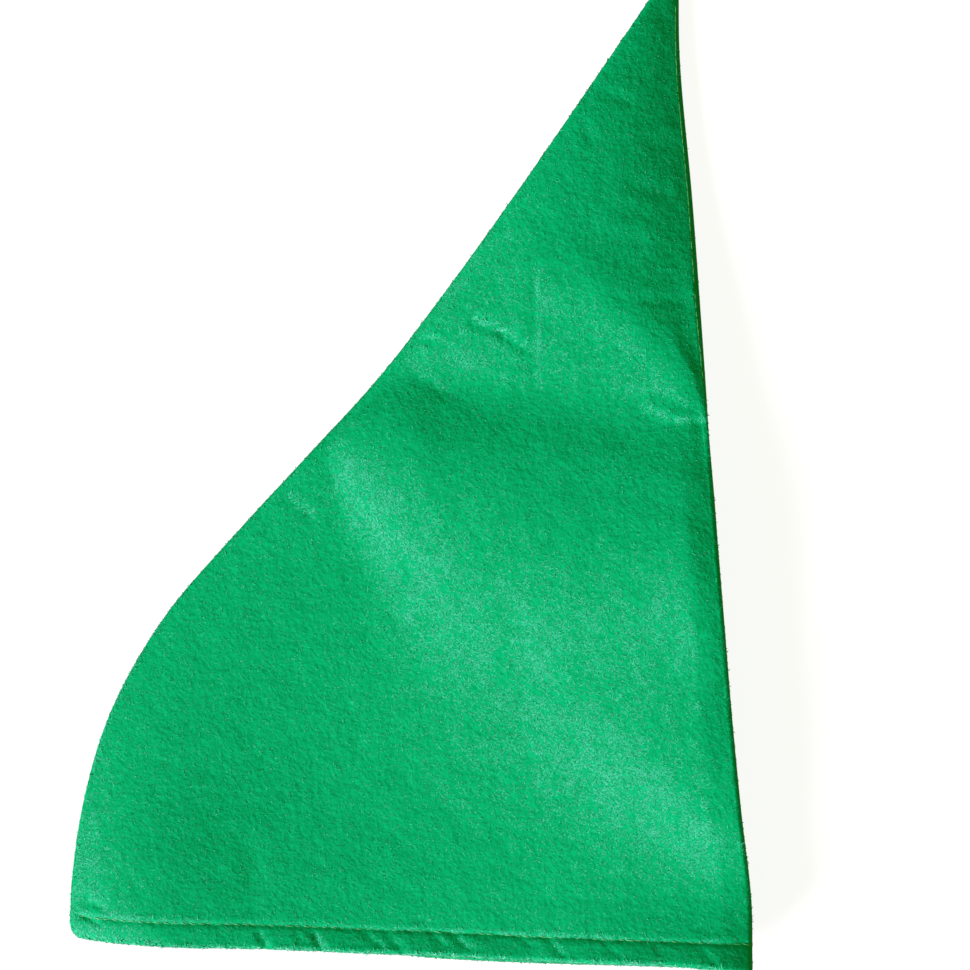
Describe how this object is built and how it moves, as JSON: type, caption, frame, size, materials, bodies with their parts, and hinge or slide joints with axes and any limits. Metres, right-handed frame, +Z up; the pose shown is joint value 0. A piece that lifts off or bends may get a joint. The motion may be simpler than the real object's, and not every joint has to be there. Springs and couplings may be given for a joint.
{
  "type": "felt goblin hat",
  "caption": "Pointed green felt goblin hat lying on its side: panels seamed along a curved front and a straight back, soft folds at the waist, stitched hem round the open mouth.",
  "frame": {"origin": "middle of the hat's bounding box on the surface it lies on", "axes": "+X from the front seam to the back seam, +Y from the mouth to the tip, +Z up from the surface"},
  "size_m": [0.2908, 0.4254, 0.0386],
  "materials": {
    "green_felt": "matt pressed craft felt, soft fibrous surface"
  },
  "bodies": {
    "root": {"lower_panel": "green_felt", "upper_panel": "green_felt"}
  },
  "joints": []
}
